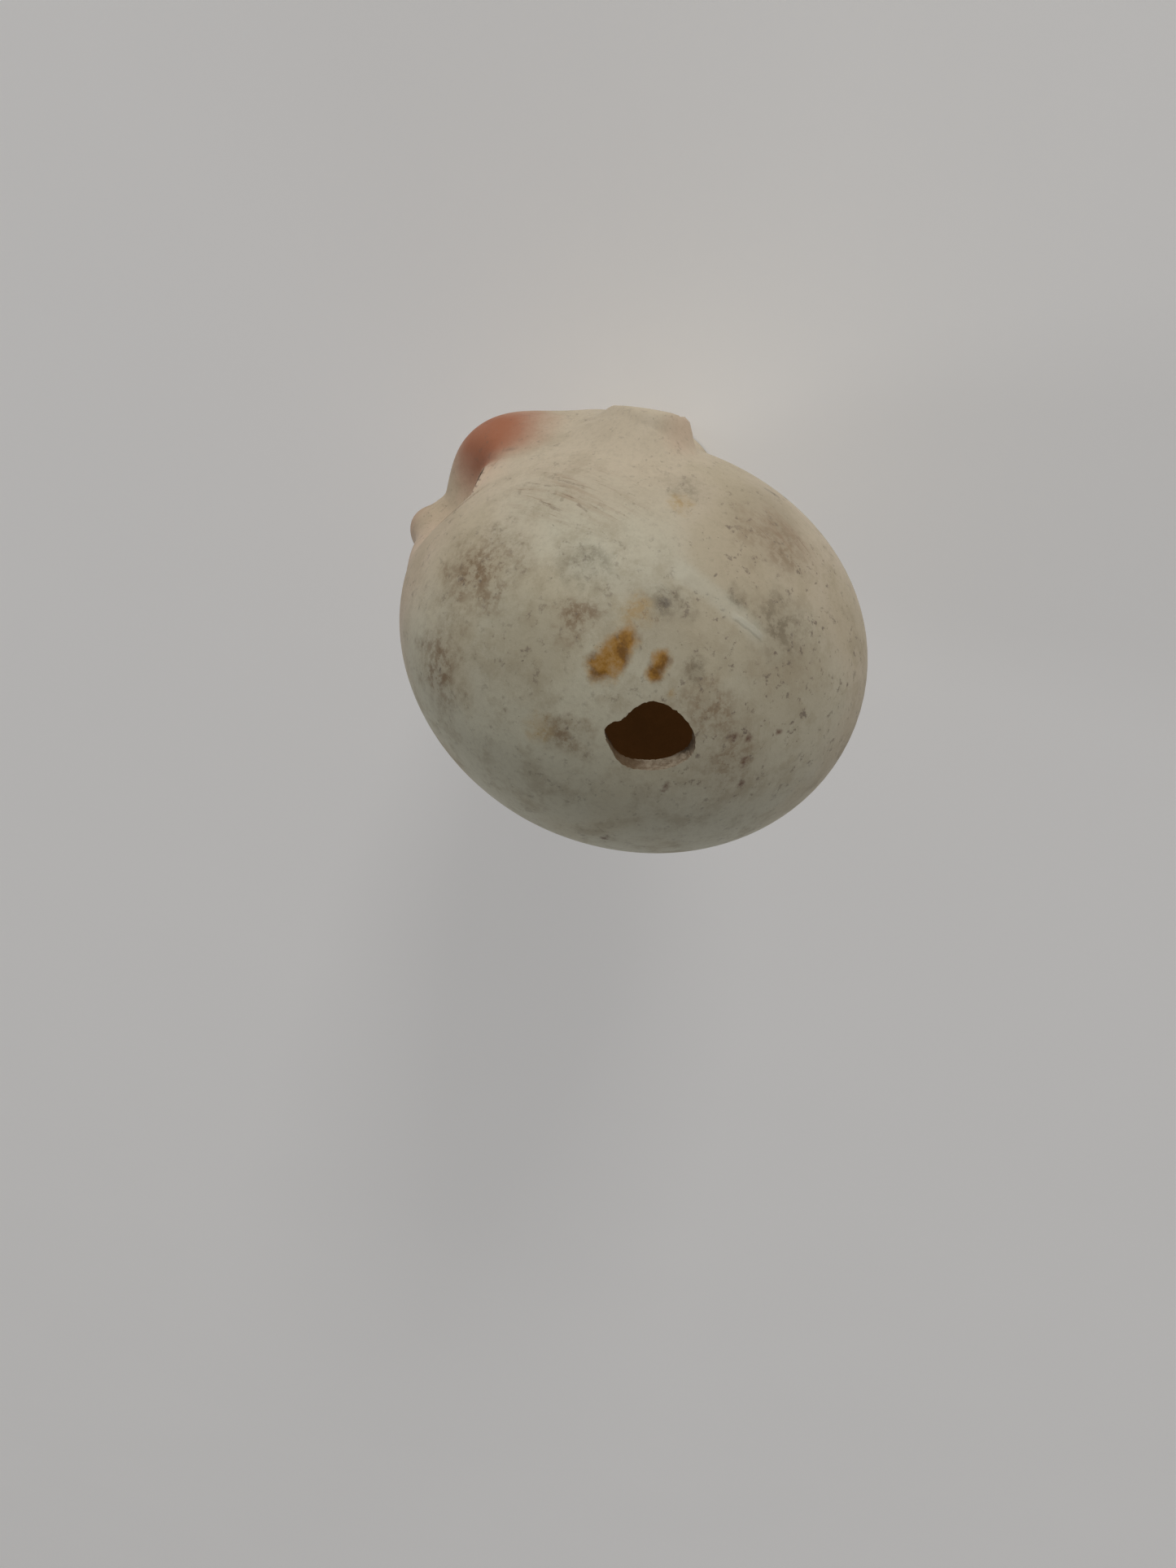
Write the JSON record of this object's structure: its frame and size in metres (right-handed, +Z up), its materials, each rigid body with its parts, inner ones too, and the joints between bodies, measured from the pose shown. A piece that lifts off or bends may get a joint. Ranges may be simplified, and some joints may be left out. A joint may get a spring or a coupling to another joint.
{
  "type": "doll head",
  "caption": "Small bald bisque doll's head with moulded ears, a flanged neck, a broken hole in the crown and glass sleeping eyes on a weighted wire.",
  "frame": {"origin": "centre of the neck's round bore in the flat rim under the flange", "axes": "+Z up through the crown, -Y the way the face looks, +X the doll's left"},
  "size_m": [0.054, 0.0641, 0.0728],
  "materials": {
    "bisque": "unglazed fired bisque, matte, cream white with a faint sheen, painted blush and old glue stains",
    "eye_glass": "blown opaque white glass with a blue-grey iris, polished",
    "lid_wax": "flesh-coloured wax, soft satin",
    "plaster": "set plaster, chalky and rough",
    "iron_wire": "bent iron wire, brown with old rust",
    "lead": "cast lead, dull grey",
    "cork": "cut cork, matte with dark pores"
  },
  "bodies": {
    "head": {"head_shell": "bisque", "left_temple_plaster": "plaster", "right_temple_plaster": "plaster", "chin_cork": "cork"},
    "eyes": {"left_eyeball": "eye_glass", "right_eyeball": "eye_glass", "left_eyelid": "lid_wax", "right_eyelid": "lid_wax", "left_eye_plaster": "plaster", "right_eye_plaster": "plaster", "yoke_wire": "iron_wire", "lead_weight": "lead"}
  },
  "joints": [
    {"name": "eyes_sleep", "type": "hinge", "parent": "head", "child": "eyes", "pos_m": [0, -0.0139, 0.039], "axis": [1, 0, 0], "range_deg": [0, 54]}
  ]
}
